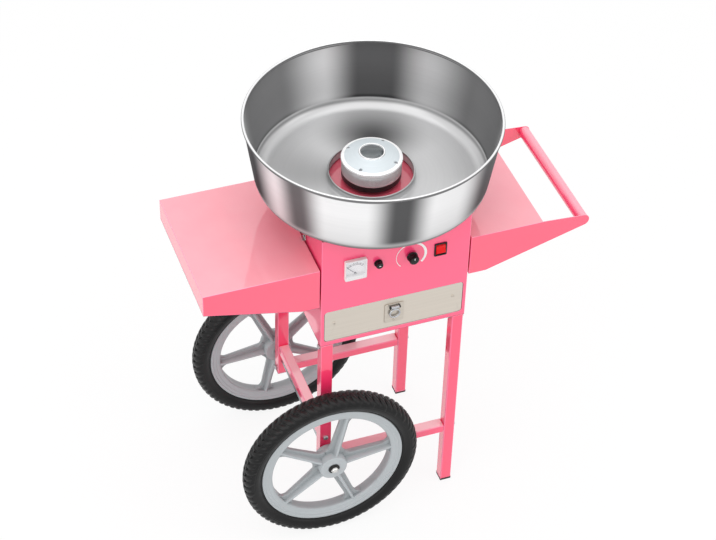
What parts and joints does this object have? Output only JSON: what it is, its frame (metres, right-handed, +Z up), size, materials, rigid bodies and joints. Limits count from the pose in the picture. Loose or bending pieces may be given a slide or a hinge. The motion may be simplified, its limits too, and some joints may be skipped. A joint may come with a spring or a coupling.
{
  "type": "cotton candy cart",
  "caption": "Pink cotton candy cart: spinning sugar head in a steel bowl on a cabinet with drawer and controls, side trays, push handle, square-tube legs and spoked wheels.",
  "frame": {"origin": "on the floor, midway between the end of the left tray and the end of the handle, under the cabinet's mid-depth", "axes": "+X towards the push handle, the control panel and drawer face -Y, +Z up"},
  "size_m": [0.8245, 0.5198, 0.947],
  "materials": {
    "pink_paint": "glossy pink powder coat on folded sheet and square tube",
    "bright_zinc": "bright zinc-plated steel",
    "bowl_steel": "spun stainless steel with a satin polish",
    "clip_chrome": "bright nickel plating",
    "drawer_satin": "satin stainless drawer front with a warm tone",
    "head_alloy": "turned aluminium",
    "wheel_plastic": "moulded light grey plastic",
    "tyre_rubber": "black tyre rubber with a block tread",
    "soft_rubber": "black rubber",
    "black_plastic": "black moulded plastic",
    "head_black": "heat-proof black coating",
    "contact_brass": "bare brass",
    "meter_white": "white plastic",
    "meter_clear": "clear acrylic",
    "rocker_red": "glossy red plastic"
  },
  "bodies": {
    "cart": {"cabinet_shell": "pink_paint", "cabinet_floor": "pink_paint", "top_plate": "pink_paint", "rear_cover": "pink_paint", "drawer_shelf": "bright_zinc", "drawer_runners": "bright_zinc", "front_left_leg": "pink_paint", "rear_left_leg": "pink_paint", "front_right_leg": "pink_paint", "rear_right_leg": "pink_paint", "leg_feet": "soft_rubber", "front_stretcher": "pink_paint", "rear_stretcher": "pink_paint", "side_brace": "pink_paint", "frame_bolts": "bright_zinc", "axle": "bright_zinc", "axle_spacers": "black_plastic", "axle_nuts": "bright_zinc", "left_tray": "pink_paint", "right_tray": "pink_paint", "push_handle": "pink_paint", "cabinet_fasteners": "bright_zinc", "power_inlet": "black_plastic", "bowl": "bowl_steel", "bowl_gasket": "soft_rubber", "motor_plate": "bright_zinc", "motor_dampers": "soft_rubber", "motor_housing": "bright_zinc", "brush_gear": "contact_brass", "meter_case": "meter_white", "meter_dial": "meter_white", "meter_lens": "meter_clear", "fuse_holder": "black_plastic", "heat_control": "black_plastic", "dial_ring": "meter_white", "switch_housing": "black_plastic"},
    "front_wheel": {"front_tyre": "tyre_rubber", "front_rim": "wheel_plastic", "front_bush": "black_plastic"},
    "rear_wheel": {"rear_tyre": "tyre_rubber", "rear_rim": "wheel_plastic", "rear_bush": "black_plastic"},
    "spinner": {"spinner_shaft": "bowl_steel", "slip_rings": "contact_brass", "head_base": "head_black", "heater_element": "contact_brass", "floss_band": "bowl_steel", "head_cover": "head_alloy", "head_screws": "bright_zinc"},
    "drawer": {"drawer_front": "drawer_satin", "drawer_box": "bright_zinc", "drawer_screws": "bright_zinc", "pull_plate": "clip_chrome"},
    "drawer_pull": {"pull_ring": "clip_chrome"},
    "heat_knob": {"control_knob": "black_plastic"},
    "power_switch": {"rocker": "rocker_red"},
    "fuse_plug": {"fuse_cap": "black_plastic"},
    "meter_pointer": {"meter_needle": "black_plastic"},
    "left_bowl_clip": {"left_clip": "clip_chrome"},
    "right_bowl_clip": {"right_clip": "clip_chrome"}
  },
  "joints": [
    {"name": "front_wheel_spin", "type": "hinge", "parent": "cart", "child": "front_wheel", "pos_m": [-0.15375, -0.188, 0.194], "axis": [0, 1, 0], "continuous": true},
    {"name": "rear_wheel_spin", "type": "hinge", "parent": "cart", "child": "rear_wheel", "pos_m": [-0.15375, 0.188, 0.194], "axis": [0, 1, 0], "continuous": true},
    {"name": "head_spin", "type": "hinge", "parent": "cart", "child": "spinner", "pos_m": [-0.01025, 0, 0.8], "axis": [0, 0, 1], "continuous": true},
    {"name": "drawer_slide", "type": "slide", "parent": "cart", "child": "drawer", "axis": [0, -1, 0], "range_m": [0, 0.24]},
    {"name": "pull_ring_swing", "type": "hinge", "parent": "drawer", "child": "drawer_pull", "pos_m": [-0.01025, -0.16, 0.575], "axis": [-1, 0, 0], "range_deg": [0, 90]},
    {"name": "heat_knob_turn", "type": "hinge", "parent": "cart", "child": "heat_knob", "pos_m": [0.02175, -0.155, 0.703], "axis": [0, 1, 0], "range_deg": [0, 270]},
    {"name": "rocker_tilt", "type": "hinge", "parent": "cart", "child": "power_switch", "pos_m": [0.08375, -0.1495, 0.703], "axis": [1, 0, 0], "range_deg": [0, 18]},
    {"name": "fuse_cap_turn", "type": "hinge", "parent": "cart", "child": "fuse_plug", "pos_m": [-0.04925, -0.155, 0.703], "axis": [0, -1, 0], "range_deg": [0, 90]},
    {"name": "meter_pointer_swing", "type": "hinge", "parent": "cart", "child": "meter_pointer", "pos_m": [-0.09825, -0.155, 0.692], "axis": [0, 1, 0], "range_deg": [0, 90]},
    {"name": "left_clip_turn", "type": "hinge", "parent": "cart", "child": "left_bowl_clip", "pos_m": [-0.16825, -0.055, 0.752], "axis": [-1, 0, 0], "range_deg": [0, 75]},
    {"name": "right_clip_turn", "type": "hinge", "parent": "cart", "child": "right_bowl_clip", "pos_m": [0.14775, 0.055, 0.752], "axis": [1, 0, 0], "range_deg": [0, 75]}
  ]
}
